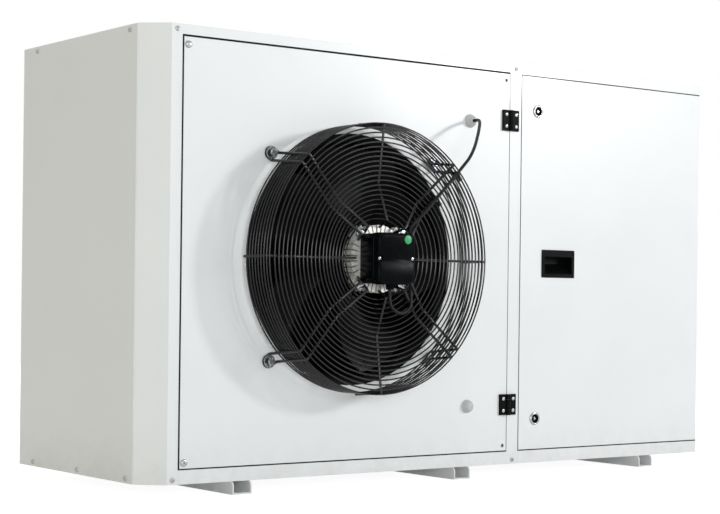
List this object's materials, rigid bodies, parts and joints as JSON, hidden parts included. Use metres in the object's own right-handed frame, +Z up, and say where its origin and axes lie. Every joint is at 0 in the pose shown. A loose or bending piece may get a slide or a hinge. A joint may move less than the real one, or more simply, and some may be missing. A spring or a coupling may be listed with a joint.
{
  "type": "condensing unit",
  "caption": "Air-cooled condensing unit: white sheet-steel housing on foot channels, with a caged axial fan on a hinged front panel and a compressor bay behind a latched service door.",
  "frame": {"origin": "on the floor, at the middle of the foot bolts, which is the middle of the middle foot channel", "axes": "+X along the housing's width, from the fan bay to the compressor bay; +Y from the front face to the coil at the rear; +Z up"},
  "size_m": [1.4708, 0.6936, 0.875],
  "materials": {
    "white_paint": "satin",
    "zinc_sheet": "satin",
    "screw_steel": "satin",
    "coil_fins": "satin",
    "copper_tube": "satin",
    "guard_wire": "gloss",
    "cast_motor": "satin",
    "motor_steel": "satin",
    "box_plastic": "satin",
    "rotor_black": "satin",
    "blade_black": "satin",
    "lead_rubber": "satin",
    "tie_plastic": "satin",
    "grey_plastic": "satin",
    "hinge_black": "satin",
    "door_foam": "matte",
    "handle_plastic": "satin",
    "compressor_black": "satin",
    "grommet_rubber": "matte",
    "heater_silicone": "matte",
    "drier_paint": "satin",
    "valve_brass": "satin"
  },
  "bodies": {
    "housing": {"base_pan": "white_paint", "mounting_feet": "white_paint", "left_corner_post": "white_paint", "left_side_panel": "white_paint", "centre_post": "white_paint", "right_side_panel": "white_paint", "rear_panel": "white_paint", "top_frame": "zinc_sheet", "top_lid": "white_paint", "partition_wall": "zinc_sheet", "housing_screws": "screw_steel", "condenser_fins": "coil_fins", "condenser_frame": "zinc_sheet", "condenser_tubes": "copper_tube", "hinge_post_leaves": "hinge_black", "hinge_pins": "screw_steel", "hinge_post_screws": "screw_steel", "door_pivot_pins": "screw_steel", "compressor_shell": "compressor_black", "compressor_grommets": "grommet_rubber", "compressor_studs": "screw_steel", "compressor_terminal_cover": "compressor_black", "crankcase_heater": "heater_silicone", "liquid_receiver": "compressor_black", "filter_drier": "drier_paint", "sight_glass": "valve_brass", "refrigerant_pipes": "copper_tube", "service_valves": "valve_brass", "pressure_switches": "grey_plastic", "electric_box": "zinc_sheet", "electric_box_cover": "zinc_sheet", "switchgear": "grey_plastic", "power_gland": "grey_plastic"},
    "fan_panel": {"fan_panel": "white_paint", "fan_nozzle": "white_paint", "guard_face_rings": "guard_wire", "guard_rim_rings": "guard_wire", "guard_arms": "guard_wire", "guard_bolts": "screw_steel", "motor_flange": "cast_motor", "motor_screws": "screw_steel", "terminal_box": "box_plastic", "terminal_cover": "box_plastic", "motor_stator": "motor_steel", "motor_bearings": "motor_steel", "fan_lead": "lead_rubber", "lead_ties": "tie_plastic", "panel_glands": "grey_plastic", "box_gland": "box_plastic", "hinge_panel_leaves": "hinge_black", "hinge_panel_screws": "screw_steel", "fan_panel_screws": "screw_steel"},
    "impeller": {"rotor": "rotor_black", "impeller_blades": "blade_black"},
    "service_door": {"service_door": "white_paint", "door_insulation": "door_foam", "pull_handle": "handle_plastic", "lock_bodies": "screw_steel"},
    "upper_lock": {"upper_lock_plug": "screw_steel"},
    "lower_lock": {"lower_lock_plug": "screw_steel"}
  },
  "joints": [
    {"name": "fan_panel_swing", "type": "hinge", "parent": "housing", "child": "fan_panel", "pos_m": [0.12625, -0.2613, 0.4525], "axis": [0, 0, 1], "range_deg": [0, 105]},
    {"name": "fan_spin", "type": "hinge", "parent": "fan_panel", "child": "impeller", "pos_m": [-0.286, -0.256, 0.4495], "axis": [0, 1, 0], "continuous": true},
    {"name": "service_door_swing", "type": "hinge", "parent": "housing", "child": "service_door", "pos_m": [0.705, -0.246, 0.4525], "axis": [0, 0, 1], "range_deg": [0, 100]},
    {"name": "upper_lock_turn", "type": "hinge", "parent": "service_door", "child": "upper_lock", "pos_m": [0.207, -0.256, 0.779], "axis": [0, 1, 0], "range_deg": [0, 90]},
    {"name": "lower_lock_turn", "type": "hinge", "parent": "service_door", "child": "lower_lock", "pos_m": [0.207, -0.256, 0.119], "axis": [0, 1, 0], "range_deg": [0, 90]}
  ]
}
